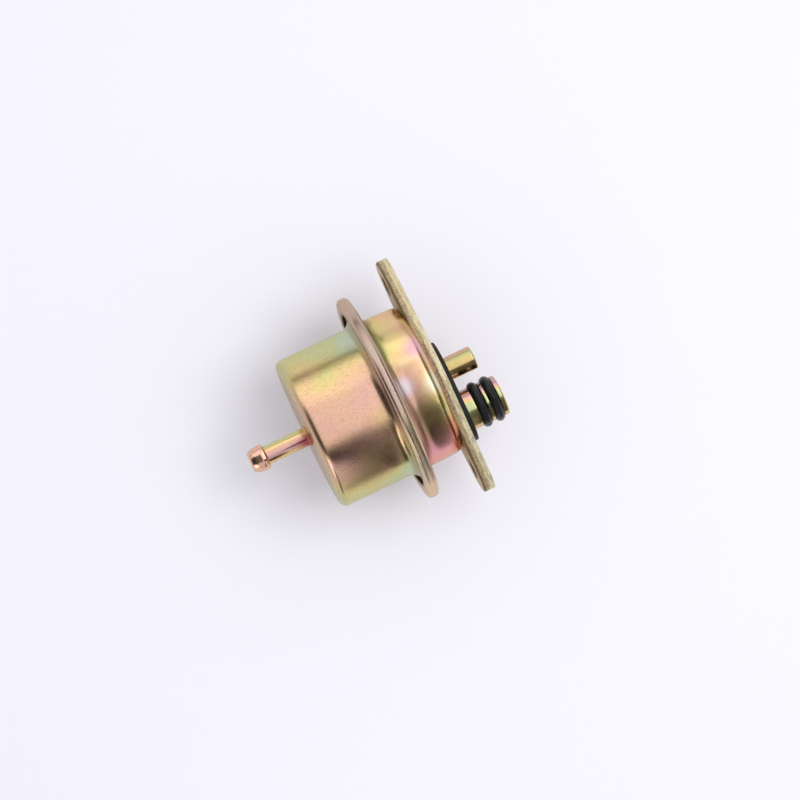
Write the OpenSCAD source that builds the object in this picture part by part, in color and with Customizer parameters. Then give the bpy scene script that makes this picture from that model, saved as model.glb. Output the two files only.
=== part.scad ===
// Fuel pressure regulator for an injection fuel rail.
// Two steel cans are crimped together over a diaphragm, and a spring holds a flat-faced ball on the return port.
// Sizes are in millimetres. The origin is on the cans' axis, on the face of the plate that meets the rail.
// +Z runs along the axis to the vacuum nipple, and +X runs through the two screw holes.

/* [Mounting plate] */
// Thickness of the plate
plate_t = 3.2; // [2.6:0.1:4.4]
// Distance between the two screw holes
screw_spacing = 53.4; // [52:0.2:60]
// Screw holes, clear of an M5 thread
screw_hole_d = 5.5; // [5.2:0.1:6.6]
// Radius of the plate's two ends
plate_end_r = 7; // [6:0.1:8]
// Half of the plate's width at the middle
plate_half_w = 14; // [12:0.2:18]

/* [Cans] */
// Outer diameter of both cans
can_d = 42.4; // [41:0.2:46]
// Thickness of the drawn sheet
sheet_t = 0.85; // [0.6:0.05:0.95]
// Fuel can, from the plate to the underside of its flange
fuel_can_h = 10.9; // [10.2:0.1:14]
// Spring can, from the underside of its flange to its end
spring_can_h = 23.5; // [20:0.25:30]
// Outer radius of the closed corners
can_corner_r = 2; // [1.4:0.1:2.6]
// Hollow radius between a can's wall and its flange
flange_fillet_r = 2; // [1:0.1:2.2]

/* [Crimped rim] */
// Outer diameter of the rim
rim_d = 58; // [56:0.5:64]
// How far the rolled lip reaches in over the spring can's flange
lip_w = 4.2; // [3:0.1:4.8]

/* [Vacuum nipple] */
// Outer diameter of the tube
nipple_d = 5; // [4.6:0.1:5.6]
// Bore
nipple_bore_d = 3; // [2:0.1:3.2]
// Length outside the can
nipple_l = 16.8; // [14:0.2:22]
// Largest diameter of the hose bead
bead_d = 7; // [6.4:0.1:8]
// Length of the bead
bead_l = 4.6; // [4:0.1:6]

/* [Ports] */
// Distance from the return tube to the inlet stub
port_spacing = 12.1; // [11.8:0.1:13]
// Outer diameter of the return tube
return_d = 6.35; // [6:0.05:7]
// Bore of the return tube
return_bore_d = 4.3; // [3.6:0.1:4.5]
// Length of the return tube outside the plate
return_l = 9.7; // [8:0.1:14]
// Outer diameter of the inlet stub
inlet_d = 11.1; // [10.6:0.1:11.8]
// Bore of the inlet stub
inlet_bore_d = 4.8; // [4:0.1:5.4]
// Length of the inlet stub outside the plate
inlet_l = 12.1; // [11.6:0.1:15]

/* [Seals] */
// Thickness of the port gasket
gasket_t = 1.6; // [0.8:0.1:2]
// Half of the gasket's width
gasket_r = 8.2; // [7.6:0.1:9]
// Section of the O-rings
ring_section_d = 2.62; // [2.4:0.02:2.7]
// Hole of the O-rings
ring_hole_d = 7.59; // [7.2:0.01:7.8]
// Land between the outer O-ring's groove and the end of the inlet stub
end_land_w = 1.3; // [0.9:0.05:1.6]
// Distance between the two O-rings
ring_pitch = 3.65; // [3.4:0.05:3.9]

/* [Diaphragm and valve] */
// Thickness of the diaphragm
diaphragm_t = 0.5; // [0.3:0.05:0.6]
// Thickness of the pressed plates on both sides of it
backing_t = 0.8; // [0.6:0.05:1]
// Diameter of the valve ball
ball_d = 7; // [6.4:0.1:7.6]
// Bore of the valve seat
seat_bore_d = 3.8; // [3:0.1:4]
// Diameter of the rivet stem
stem_d = 6; // [5.4:0.1:7]

/* [Springs] */
// Wire of the main spring
spring_wire_d = 3; // [2.4:0.1:3.4]
// Mean diameter of the main spring
spring_mean_d = 24; // [22:0.5:25]
// Turns of the main spring, closed ends counted
spring_turns = 5; // [4:0.5:6]
// Wire of the ball's small spring
ball_wire_d = 0.4; // [0.3:0.02:0.44]

/* [Hidden] */
$fn = 96;
braze_gap = 0.05;
ring_gap = 0.09;
plate_gap = 0.3;
edge_break = 0.35;
flank_inset = 0.04;
overcut = 1;

can_r = can_d / 2;
can_in_r = can_r - sheet_t;
rim_r = rim_d / 2;

can_floor_z = plate_t + sheet_t;
flange_z = plate_t + fuel_can_h;
diaphragm_z = flange_z + sheet_t;
spring_flange_z = diaphragm_z + diaphragm_t;
lip_z = spring_flange_z + sheet_t;
rim_top_z = lip_z + sheet_t;
can_top_z = spring_flange_z + spring_can_h;
can_ceiling_z = can_top_z - sheet_t;

fold_out_r = (rim_top_z - flange_z) / 2;
fold_in_r = fold_out_r - sheet_t;
fold_z = flange_z + fold_out_r;
clamp_r = rim_r - fold_out_r - plate_gap;

nipple_r = nipple_d / 2;
nipple_bore_r = nipple_bore_d / 2;
nipple_top_z = can_top_z + nipple_l;
collar_w = 1.7;
collar_r = nipple_r + collar_w;
braze_r = 0.6;
braze_edge = 0.06;
bead_round = 0.9;
tip_round = 1.4;
tip_draft = 0.25;
bead_mid_r = bead_d / 2 - bead_round;
bead_mid_z = nipple_top_z - bead_l + bead_round;
tip_mid_r = bead_d / 2 - tip_draft - tip_round;
tip_mid_z = nipple_top_z - tip_round;
bead_run_r = tip_mid_r - bead_mid_r;
bead_run_z = tip_mid_z - bead_mid_z;
bead_run = sqrt(bead_run_r * bead_run_r + bead_run_z * bead_run_z);
bead_slope = atan2(bead_run_z, bead_run_r) - acos((bead_round - tip_round) / bead_run);

return_r = return_d / 2;
return_bore_r = return_bore_d / 2;
return_step = 0.375;
return_spigot_r = return_r - return_step;
seat_overlap = 1.5;
return_spigot_z = can_floor_z + seat_overlap;
inlet_r = inlet_d / 2;
inlet_bore_r = inlet_bore_d / 2;
inlet_spigot_r = 4.2;
inlet_peen_r = 4.8;
inlet_peen_t = 0.7;
port_x = -port_spacing;

gasket_return_r = return_r + 0.95;
gasket_inlet_r = inlet_r + plate_gap;

ring_r = ring_section_d / 2;
ring_mid_r = (ring_hole_d + ring_section_d) / 2;
groove_r = ring_hole_d / 2 - ring_gap;
groove_half_w = ring_r + ring_gap;
second_ring_z = end_land_w + groove_half_w - inlet_l;
first_ring_z = second_ring_z + ring_pitch;

stem_r = stem_d / 2;
spring_wire_r = spring_wire_d / 2;
spring_mean_r = spring_mean_d / 2;
spring_side_gap = 0.6;
cup_z = spring_flange_z;
cup_top_z = cup_z + backing_t;
cup_r = spring_mean_r + spring_wire_r + spring_side_gap + backing_t;
cup_bend_r = 1.4;
cup_wall_h = 3.2;
arch_mid_r = (cup_r + can_in_r) / 2 + 0.35;
arch_out_r = (can_in_r - cup_r) / 2 - 0.15;
arch_in_r = arch_out_r - diaphragm_t;
washer_r = cup_r - 0.4;
washer_z = diaphragm_z - backing_t;
washer_bend_r = 1.3;
washer_wall_h = 2;

ball_r = ball_d / 2;
ball_gap = 0.1;
ball_cap = ball_d * 2 / 7;
holder_roof = 1.55;
ball_z = washer_z - ball_r - holder_roof;
seat_z = ball_z - ball_cap;
holder_wall = 2.5;
holder_r = ball_r + holder_wall;
holder_lift = 0.5;
holder_z = seat_z + holder_lift;
retainer_w = 0.9;
retainer_r = ball_r + retainer_w;
retainer_t = 0.7;
retainer_gap = 0.05;
rivet_w = 1.5;
rivet_r = stem_r + rivet_w;
rivet_h = 1.2;
rivet_z = cup_top_z;
seat_bore_r = seat_bore_d / 2;
seat_land_w = 0.65;
seat_land_h = 0.4;
seat_neck_r = 3.9;
seat_foot_r = 5;
seat_foot_h = 1;
ball_wire_r = ball_wire_d / 2;
ball_spring_r = 1.5;
ball_spring_bore_r = 2;
ball_spring_top_z = diaphragm_z + 0.1;
ball_spring_low_z = ball_z + sqrt(pow(ball_r + ball_wire_r, 2) - pow(ball_spring_r, 2)) + 0.02;
ball_spring_turns = 3;

seat_dish_top_z = can_ceiling_z;
seat_dish_z = seat_dish_top_z - backing_t;
seat_dish_r = cup_r - 0.3;
seat_hat_r = spring_mean_r - spring_wire_r - 0.5;
seat_hat_bend_r = 1.4;
seat_hat_h = 4.2;
seat_hole_r = 5;

spring_low_z = cup_top_z;
spring_high_z = seat_dish_z;
spring_closed_pitch = spring_wire_d + 0.06;
spring_end_cut = spring_wire_d / 4;
spring_open_l = spring_high_z - spring_low_z - 2 * spring_end_cut - 2 * spring_closed_pitch;
spring_open_pitch = spring_open_l / (spring_turns - 2);
coil_steps = 28;
coil_sides = 12;
small_coil_steps = 20;
small_coil_sides = 8;

// A rectangle of a turned section, from one radius and height to another.
module section_box(r0, z0, r1, z1) {
    translate([r0, z0])
        square([r1 - r0, z1 - z0]);
}

// A quarter of a bent sheet about a centre. side_r and side_z are 1 or -1 for the quarter that is kept.
module sheet_bend(mid_r, mid_z, in_r, thickness, side_r, side_z) {
    out_r = in_r + thickness;
    reach = out_r + overcut;
    translate([mid_r, mid_z])
        intersection() {
            difference() {
                circle(r = out_r);
                circle(r = in_r);
            }
            translate([side_r > 0 ? 0 : -reach, side_z > 0 ? 0 : -reach])
                square([reach, reach]);
        }
}

// Height of the main spring's wire after a number of turns: one closed turn at each end.
function spring_wire_z(turn) =
    spring_low_z + spring_end_cut + (
        turn < 1 ? turn * spring_closed_pitch
        : turn > spring_turns - 1
            ? spring_closed_pitch + spring_open_l + (turn - spring_turns + 1) * spring_closed_pitch
            : spring_closed_pitch + (turn - 1) * spring_open_pitch
    );

// A round wire wound about Z through the listed heights, a fixed number of steps to a turn.
module wound_wire(mean_r, wire_r, heights, steps, sides) {
    last = len(heights) - 1;
    points = [
        for (i = [0:last])
            for (j = [0:sides - 1])
                let (turn = 360 * i / steps, side = 360 * j / sides, r = mean_r + wire_r * cos(side))
                    [r * cos(turn), r * sin(turn), heights[i] + wire_r * sin(side)]
    ];
    walls = [
        for (i = [0:last - 1])
            for (j = [0:sides - 1])
                let (a = i * sides + j, b = i * sides + (j + 1) % sides)
                    [a, b, b + sides, a + sides]
    ];
    first_end = [for (j = [sides - 1:-1:0]) j];
    last_end = [for (j = [0:sides - 1]) last * sides + j];
    polyhedron(points = points, faces = concat(walls, [first_end, last_end]), convexity = 10);
}

// The upper can. Its flange is caught under the rolled lip.
module spring_housing() {
    color("#c9ad6a")
        rotate_extrude() {
            section_box(nipple_r + braze_gap, can_ceiling_z, can_r - can_corner_r, can_top_z);
            sheet_bend(can_r - can_corner_r, can_top_z - can_corner_r, can_corner_r - sheet_t, sheet_t, 1, 1);
            section_box(can_in_r, lip_z + flange_fillet_r, can_r, can_top_z - can_corner_r);
            sheet_bend(can_r + flange_fillet_r, lip_z + flange_fillet_r, flange_fillet_r, sheet_t, -1, -1);
            section_box(can_r + flange_fillet_r, spring_flange_z, clamp_r, lip_z);
        }
}

// The hose nipple, with an inner collar, a braze fillet and a beaded end.
module vacuum_nipple() {
    braze_mid_r = nipple_r + braze_r + braze_edge;
    braze_mid_z = can_top_z + braze_r + braze_edge;
    color("#cf9d78")
        rotate_extrude()
            difference() {
                union() {
                    section_box(nipple_bore_r, can_ceiling_z - backing_t, collar_r, can_ceiling_z);
                    section_box(nipple_bore_r, can_ceiling_z - backing_t, nipple_r, bead_mid_z);
                    difference() {
                        section_box(nipple_bore_r, can_top_z, nipple_r + braze_r, can_top_z + braze_r);
                        translate([braze_mid_r, braze_mid_z])
                            circle(r = braze_r);
                    }
                    translate([bead_mid_r, bead_mid_z])
                        circle(r = bead_round);
                    translate([tip_mid_r, tip_mid_z])
                        circle(r = tip_round);
                    polygon([
                        [nipple_bore_r - 0.4, bead_mid_z],
                        [bead_mid_r, bead_mid_z],
                        [
                            bead_mid_r + bead_round * cos(bead_slope),
                            bead_mid_z + bead_round * sin(bead_slope)
                        ],
                        [
                            tip_mid_r + tip_round * cos(bead_slope),
                            tip_mid_z + tip_round * sin(bead_slope)
                        ],
                        [tip_mid_r, nipple_top_z],
                        [nipple_bore_r - 0.4, nipple_top_z]
                    ]);
                }
                section_box(0, can_ceiling_z - backing_t - overcut, nipple_bore_r, nipple_top_z + overcut);
            }
}

// The lower can. Its flange folds round the rim and over the upper can's flange as the lip.
module fuel_housing() {
    color("#cdb372")
        difference() {
            rotate_extrude() {
                section_box(return_spigot_r + braze_gap, plate_t, can_r - can_corner_r, can_floor_z);
                sheet_bend(can_r - can_corner_r, plate_t + can_corner_r, can_corner_r - sheet_t, sheet_t, 1, -1);
                section_box(can_in_r, plate_t + can_corner_r, can_r, flange_z - flange_fillet_r);
                sheet_bend(can_r + flange_fillet_r, flange_z - flange_fillet_r, flange_fillet_r, sheet_t, -1, 1);
                section_box(can_r + flange_fillet_r, flange_z, rim_r - fold_out_r, diaphragm_z);
                sheet_bend(rim_r - fold_out_r, fold_z, fold_in_r, sheet_t, 1, -1);
                sheet_bend(rim_r - fold_out_r, fold_z, fold_in_r, sheet_t, 1, 1);
                section_box(rim_r - lip_w, lip_z, rim_r - fold_out_r, rim_top_z);
            }
            translate([port_x, 0, plate_t - overcut])
                cylinder(r = inlet_spigot_r + braze_gap, h = sheet_t + 2 * overcut);
        }
}

// Outline of the plate: a round middle and two round ends joined by straight flanks.
module plate_outline() {
    end_x = screw_spacing / 2;
    flank = acos((plate_half_w - plate_end_r) / end_x);
    mid_reach = plate_half_w - flank_inset;
    end_reach = plate_end_r - flank_inset;
    mid_x = mid_reach * cos(flank);
    mid_y = mid_reach * sin(flank);
    far_x = end_x + end_reach * cos(flank);
    far_y = end_reach * sin(flank);
    circle(r = plate_half_w);
    for (side = [-1, 1])
        translate([side * end_x, 0])
            circle(r = plate_end_r);
    polygon([
        [far_x, far_y],
        [mid_x, mid_y],
        [-mid_x, mid_y],
        [-far_x, far_y],
        [-far_x, -far_y],
        [-mid_x, -mid_y],
        [mid_x, -mid_y],
        [far_x, -far_y]
    ]);
}

// The stamped plate that screws to the rail.
module mounting_plate() {
    color("#b8a878")
        linear_extrude(height = plate_t)
            difference() {
                plate_outline();
                for (side = [-1, 1])
                    translate([side * screw_spacing / 2, 0])
                        circle(d = screw_hole_d);
                circle(r = return_spigot_r + braze_gap);
                translate([port_x, 0])
                    circle(r = inlet_spigot_r + braze_gap);
            }
}

// The return tube: a plain end below, and a spigot through the plate and the can into the seat.
module return_tube() {
    color("#c3ab63")
        rotate_extrude()
            polygon([
                [return_bore_r + edge_break, -return_l],
                [return_r - edge_break, -return_l],
                [return_r, -return_l + edge_break],
                [return_r, 0],
                [return_spigot_r, 0],
                [return_spigot_r, return_spigot_z],
                [return_bore_r, return_spigot_z],
                [return_bore_r, -return_l + edge_break]
            ]);
}

// The turned seat over the return tube, with a narrow land that the ball's flat closes.
module valve_seat() {
    color("#c8a24c")
        rotate_extrude()
            polygon([
                [return_spigot_r + braze_gap, can_floor_z],
                [seat_foot_r, can_floor_z],
                [seat_foot_r, can_floor_z + seat_foot_h],
                [seat_neck_r, can_floor_z + seat_foot_h],
                [seat_neck_r, seat_z - seat_land_h],
                [seat_bore_r + seat_land_w, seat_z - seat_land_h],
                [seat_bore_r + seat_land_w, seat_z],
                [seat_bore_r, seat_z],
                [seat_bore_r, return_spigot_z],
                [return_spigot_r + braze_gap, return_spigot_z]
            ]);
}

// The inlet stub: two grooves for the O-rings, and a spigot peened over inside the can.
module inlet_stub() {
    color("#cbae7c")
        translate([port_x, 0, 0])
            rotate_extrude()
                difference() {
                    union() {
                        polygon([
                            [inlet_bore_r + edge_break, -inlet_l],
                            [inlet_r - edge_break, -inlet_l],
                            [inlet_r, -inlet_l + edge_break],
                            [inlet_r, 0],
                            [inlet_spigot_r, 0],
                            [inlet_spigot_r, can_floor_z],
                            [inlet_peen_r, can_floor_z],
                            [inlet_peen_r - edge_break, can_floor_z + inlet_peen_t],
                            [inlet_bore_r, can_floor_z + inlet_peen_t],
                            [inlet_bore_r, -inlet_l + edge_break]
                        ]);
                    }
                    for (groove_z = [first_ring_z, second_ring_z])
                        section_box(
                            groove_r, groove_z - groove_half_w, inlet_r + overcut, groove_z + groove_half_w
                        );
                }
}

module o_ring(height) {
    translate([port_x, 0, height])
        rotate_extrude()
            translate([ring_mid_r, 0])
                circle(r = ring_r);
}

module inner_o_ring() {
    color("#1c1c1e")
        o_ring(first_ring_z);
}

module outer_o_ring() {
    color("#1c1c1e")
        o_ring(second_ring_z);
}

// The flat seal on the plate round both ports.
module port_gasket() {
    color("#202022")
        translate([0, 0, -gasket_t])
            linear_extrude(height = gasket_t)
                difference() {
                    union() {
                        circle(r = gasket_r);
                        translate([port_x, 0])
                            circle(r = gasket_r);
                        translate([port_x, -gasket_r])
                            square([port_spacing, 2 * gasket_r]);
                    }
                    circle(r = gasket_return_r);
                    translate([port_x, 0])
                        circle(r = gasket_inlet_r);
                }
}

// The diaphragm, clamped in the rim, with one rolling arch round the plates.
module diaphragm() {
    color("#6a4a34")
        rotate_extrude() {
            section_box(stem_r + braze_gap, diaphragm_z, arch_mid_r - arch_in_r, spring_flange_z);
            sheet_bend(arch_mid_r, diaphragm_z, arch_in_r, diaphragm_t, -1, 1);
            sheet_bend(arch_mid_r, diaphragm_z, arch_in_r, diaphragm_t, 1, 1);
            section_box(arch_mid_r + arch_in_r, diaphragm_z, clamp_r, spring_flange_z);
        }
}

// The cup on the diaphragm that centres the main spring.
module spring_plate() {
    color("#b9b9b4")
        rotate_extrude() {
            section_box(stem_r + braze_gap, cup_z, cup_r - cup_bend_r, cup_top_z);
            sheet_bend(cup_r - cup_bend_r, cup_z + cup_bend_r, cup_bend_r - backing_t, backing_t, 1, -1);
            section_box(cup_r - backing_t, cup_z + cup_bend_r, cup_r, cup_z + cup_wall_h);
        }
}

// The plate on the fuel side, turned down at its edge so that it can't cut the diaphragm.
module diaphragm_washer() {
    color("#b4b4ae")
        rotate_extrude() {
            section_box(stem_r + braze_gap, washer_z, washer_r - washer_bend_r, diaphragm_z);
            sheet_bend(
                washer_r - washer_bend_r, diaphragm_z - washer_bend_r,
                washer_bend_r - backing_t, backing_t, 1, 1
            );
            section_box(
                washer_r - backing_t, diaphragm_z - washer_wall_h, washer_r, diaphragm_z - washer_bend_r
            );
        }
}

// The turned holder: a socket for the ball below, and a stem riveted over the spring cup.
module valve_holder() {
    color("#a9a9a4")
        rotate_extrude()
            difference() {
                union() {
                    section_box(0, holder_z, holder_r, washer_z);
                    section_box(0, washer_z, stem_r, rivet_z);
                    polygon([
                        [0, rivet_z],
                        [rivet_r, rivet_z],
                        [rivet_r, rivet_z + rivet_h / 2],
                        [rivet_r - rivet_h / 2, rivet_z + rivet_h],
                        [0, rivet_z + rivet_h]
                    ]);
                }
                translate([0, ball_z])
                    circle(r = ball_r + ball_gap);
                section_box(-overcut, holder_z - overcut, ball_r + ball_gap, ball_z);
                section_box(
                    -overcut, holder_z - overcut, retainer_r + retainer_gap, holder_z + retainer_t + retainer_gap
                );
                section_box(-overcut, ball_z, ball_spring_bore_r, ball_spring_top_z);
            }
}

// The ball, ground flat where it meets the seat.
module valve_ball() {
    color("#d4d6d8")
        rotate_extrude()
            intersection() {
                translate([0, ball_z])
                    circle(r = ball_r);
                section_box(0, seat_z, ball_r + overcut, ball_z + ball_r + overcut);
            }
}

// The ring pressed into the holder's mouth under the ball.
module ball_retainer() {
    color("#c9b06a")
        rotate_extrude()
            difference() {
                section_box(0, holder_z, retainer_r, holder_z + retainer_t);
                translate([0, ball_z])
                    circle(r = ball_r + retainer_gap);
            }
}

// The small spring that presses the ball against its ring.
module ball_spring() {
    steps = ball_spring_turns * small_coil_steps;
    run = ball_spring_top_z - ball_wire_r - ball_spring_low_z;
    color("#b0b2b4")
        wound_wire(
            ball_spring_r, ball_wire_r, [for (i = [0:steps]) ball_spring_low_z + run * i / steps],
            small_coil_steps, small_coil_sides
        );
}

// The main spring, closed at both ends and ground flat.
module main_spring() {
    steps = spring_turns * coil_steps;
    color("#8f9296")
        intersection() {
            wound_wire(
                spring_mean_r, spring_wire_r, [for (i = [0:steps]) spring_wire_z(i / coil_steps)],
                coil_steps, coil_sides
            );
            translate([0, 0, spring_low_z])
                cylinder(r = cup_r, h = spring_high_z - spring_low_z);
        }
}

// The pressed dish under the end of the upper can. Its hollow middle leaves room for the nipple's collar.
module spring_seat() {
    hat_floor_z = seat_dish_top_z - seat_hat_h;
    color("#b6b7b2")
        rotate_extrude() {
            section_box(seat_hat_r - backing_t + seat_hat_bend_r, seat_dish_z, seat_dish_r, seat_dish_top_z);
            sheet_bend(
                seat_hat_r - backing_t + seat_hat_bend_r, seat_dish_top_z - seat_hat_bend_r,
                seat_hat_bend_r - backing_t, backing_t, -1, 1
            );
            section_box(
                seat_hat_r - backing_t, hat_floor_z + seat_hat_bend_r,
                seat_hat_r, seat_dish_top_z - seat_hat_bend_r
            );
            sheet_bend(
                seat_hat_r - seat_hat_bend_r, hat_floor_z + seat_hat_bend_r,
                seat_hat_bend_r - backing_t, backing_t, 1, -1
            );
            section_box(seat_hole_r, hat_floor_z, seat_hat_r - seat_hat_bend_r, hat_floor_z + backing_t);
        }
}

spring_housing();
vacuum_nipple();
fuel_housing();
mounting_plate();
return_tube();
valve_seat();
inlet_stub();
inner_o_ring();
outer_o_ring();
port_gasket();
diaphragm();
spring_plate();
diaphragm_washer();
valve_holder();
valve_ball();
ball_retainer();
ball_spring();
main_spring();
spring_seat();
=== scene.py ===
import math

import bmesh
import bpy
from mathutils import Matrix, Vector, noise


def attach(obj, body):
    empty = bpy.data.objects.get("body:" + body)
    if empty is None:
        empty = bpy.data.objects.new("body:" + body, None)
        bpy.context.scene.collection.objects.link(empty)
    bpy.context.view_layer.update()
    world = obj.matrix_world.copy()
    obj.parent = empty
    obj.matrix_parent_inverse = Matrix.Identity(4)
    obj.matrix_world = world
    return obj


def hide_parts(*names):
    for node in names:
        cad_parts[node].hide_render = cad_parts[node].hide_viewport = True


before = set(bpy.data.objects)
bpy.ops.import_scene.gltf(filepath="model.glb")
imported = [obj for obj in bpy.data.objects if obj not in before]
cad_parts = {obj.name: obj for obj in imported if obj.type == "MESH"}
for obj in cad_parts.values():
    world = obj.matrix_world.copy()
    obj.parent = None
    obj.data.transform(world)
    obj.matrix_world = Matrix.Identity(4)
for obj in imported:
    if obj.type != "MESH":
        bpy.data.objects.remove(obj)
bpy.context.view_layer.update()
mm = 0.001
scene = bpy.context.scene
scene.view_settings.view_transform = "Standard"
print("frame loaded:", len(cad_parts), "nodes")

# camera: seen from -Y, a little above the plate's plane, rolled so that the nipple points down and left
shot = {
    "tilt": 4.1,
    "roll": 115.5,
    "distance": 0.9,
    "pixelsPerMm": 3.77,
    "originPixel": (440.4, 372.6),
    "picture": 800,
    "sensor": 36.0,
}


def aimCamera(shot):
    tilt, roll = math.radians(shot["tilt"]), math.radians(shot["roll"])
    side = Vector((1, 0, 0))
    rise = Vector((0, math.sin(tilt), math.cos(tilt)))
    back = Vector((0, -math.cos(tilt), math.sin(tilt)))
    right = side * math.cos(roll) - rise * math.sin(roll)
    up = side * math.sin(roll) + rise * math.cos(roll)
    half = shot["picture"] / 2
    dx = (shot["originPixel"][0] - half) / shot["pixelsPerMm"] * mm
    dy = (half - shot["originPixel"][1]) / shot["pixelsPerMm"] * mm
    place = back * shot["distance"] - right * dx - up * dy
    data = bpy.data.cameras.new("photoCamera")
    data.sensor_width = shot["sensor"]
    data.lens = shot["pixelsPerMm"] * shot["distance"] / mm / shot["picture"] * shot["sensor"]
    data.clip_end = 20.0
    camera = bpy.data.objects.new("photoCamera", data)
    camera.matrix_world = Matrix((
        (right.x, up.x, back.x, place.x),
        (right.y, up.y, back.y, place.y),
        (right.z, up.z, back.z, place.z),
        (0, 0, 0, 1),
    ))
    scene.collection.objects.link(camera)
    scene.camera = camera


aimCamera(shot)
print("camera placed")


# small helpers for node trees
def addNode(tree, kind, **settings):
    node = tree.nodes.new(kind)
    for key, value in settings.items():
        setattr(node, key, value)
    return node


def plug(tree, value, socket):
    if isinstance(value, bpy.types.NodeSocket):
        tree.links.new(value, socket)
    else:
        socket.default_value = value


def feed(tree, node, **values):
    for key, value in values.items():
        plug(tree, value, node.inputs[key.replace("_", " ")])
    return node


def calc(tree, operation, first, second=None, clamp=False):
    node = addNode(tree, "ShaderNodeMath", operation=operation, use_clamp=clamp)
    for place, value in enumerate((first, second)):
        if value is not None:
            plug(tree, value, node.inputs[place])
    return node.outputs[0]


def plus(tree, first, second):
    return calc(tree, "ADD", first, second)


def minus(tree, first, second):
    return calc(tree, "SUBTRACT", first, second)


def times(tree, first, second):
    return calc(tree, "MULTIPLY", first, second)


def around(tree, value, amount):  # turns noise from 0 to 1 into a shift to both sides
    return times(tree, minus(tree, value, 0.5), amount)


def ramp(tree, factor, stops):
    node = addNode(tree, "ShaderNodeValToRGB")
    marks = node.color_ramp.elements
    while len(marks) < len(stops):
        marks.new(0.5)
    for mark, (place, colour) in zip(marks, stops):
        mark.position = place
        mark.color = (*colour, 1.0)
    tree.links.new(factor, node.inputs["Fac"])
    return node.outputs["Color"]


def toneRamp(tree, factor, stops):
    return ramp(tree, factor, [(place, (tone,) * 3) for place, tone in stops])


def blendColour(tree, factor, first, second, mode="MIX"):
    node = addNode(tree, "ShaderNodeMix", data_type="RGBA", blend_type=mode)
    for place, value in ((0, factor), (6, first), (7, second)):
        plug(tree, (*value, 1.0) if isinstance(value, tuple) else value, node.inputs[place])
    return node.outputs[2]


def noiseValue(tree, vector, scale, detail=3.0, rough=0.5):
    node = addNode(tree, "ShaderNodeTexNoise")
    feed(tree, node, Vector=vector, Scale=scale, Detail=detail, Roughness=rough)
    return node.outputs["Fac"]


def span(tree, value, low, high, toLow=0.0, toHigh=1.0, linear=False):
    kind = "LINEAR" if linear else "SMOOTHSTEP"
    node = addNode(tree, "ShaderNodeMapRange", clamp=True, interpolation_type=kind)
    feed(tree, node, Value=value, From_Min=low, From_Max=high, To_Min=toLow, To_Max=toHigh)
    return node.outputs["Result"]


def stretched(tree, coord, scale):
    node = addNode(tree, "ShaderNodeMapping")
    feed(tree, node, Vector=coord, Scale=scale)
    return node.outputs["Vector"]


def fromAxis(tree, parts):
    squares = [times(tree, parts[axis], parts[axis]) for axis in ("X", "Y")]
    return calc(tree, "POWER", plus(tree, *squares), 0.5)


# colour of the zinc's yellow passivation: a drifting film that runs from green through gold and peach to pink
filmStops = [
    (0.00, (0.52, 0.60, 0.44)),
    (0.14, (0.58, 0.61, 0.30)),
    (0.28, (0.70, 0.58, 0.24)),
    (0.42, (0.78, 0.56, 0.28)),
    (0.58, (0.80, 0.50, 0.33)),
    (0.74, (0.78, 0.45, 0.38)),
    (0.88, (0.70, 0.40, 0.42)),
    (1.00, (0.52, 0.42, 0.46)),
]


def buildPassivation():
    tree = bpy.data.node_groups.new("passivationFilm", "ShaderNodeTree")
    for name, kind, value in (
        ("Film", "NodeSocketFloat", 0.5),
        ("Drift", "NodeSocketFloat", 0.2),
        ("Drift Scale", "NodeSocketFloat", 70.0),
        ("Offset", "NodeSocketVector", None),
    ):
        socket = tree.interface.new_socket(name, in_out="INPUT", socket_type=kind)
        if value is not None:
            socket.default_value = value
    results = (("Tint", "NodeSocketColor"), ("Cloud", "NodeSocketFloat"), ("Grain", "NodeSocketFloat"))
    for name, kind in results:
        tree.interface.new_socket(name, in_out="OUTPUT", socket_type=kind)
    given = addNode(tree, "NodeGroupInput")
    result = addNode(tree, "NodeGroupOutput")
    coord = addNode(tree, "ShaderNodeTexCoord").outputs["Object"]
    moved = addNode(tree, "ShaderNodeVectorMath", operation="ADD")
    tree.links.new(coord, moved.inputs[0])
    tree.links.new(given.outputs["Offset"], moved.inputs[1])
    place = moved.outputs["Vector"]
    cloud = noiseValue(tree, place, given.outputs["Drift Scale"], 2.5, 0.5)
    lifted = around(tree, cloud, given.outputs["Drift"])
    fleck = around(tree, noiseValue(tree, place, 1700.0, 2.0, 0.6), 0.16)
    film = calc(tree, "ADD", plus(tree, given.outputs["Film"], lifted), fleck, clamp=True)
    tint = ramp(tree, film, filmStops)
    grain = noiseValue(tree, place, 2600.0, 3.0, 0.65)
    dusk = blendColour(tree, span(tree, grain, 0.50, 0.70, 0.0, 0.30), tint, (0.34, 0.25, 0.16))
    tree.links.new(dusk, result.inputs["Tint"])
    tree.links.new(cloud, result.inputs["Cloud"])
    tree.links.new(grain, result.inputs["Grain"])
    return tree


passivation = buildPassivation()


def startMaterial(name):
    material = bpy.data.materials.new(name)
    material.use_nodes = True
    tree = material.node_tree
    shader = tree.nodes["Principled BSDF"]
    coord = addNode(tree, "ShaderNodeTexCoord").outputs["Object"]
    parts = addNode(tree, "ShaderNodeSeparateXYZ")
    tree.links.new(coord, parts.inputs[0])
    return material, tree, shader, coord, parts.outputs


def bumped(tree, shader, height, strength, depth):
    node = addNode(tree, "ShaderNodeBump")
    feed(tree, node, Strength=strength, Distance=depth, Height=height)
    tree.links.new(node.outputs["Normal"], shader.inputs["Normal"])


def filmNode(tree, film, finish):
    node = addNode(tree, "ShaderNodeGroup", node_tree=passivation)
    feed(tree, node, Film=film, Drift=finish["drift"], Drift_Scale=finish["scale"], Offset=finish["offset"])
    return node.outputs


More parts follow.
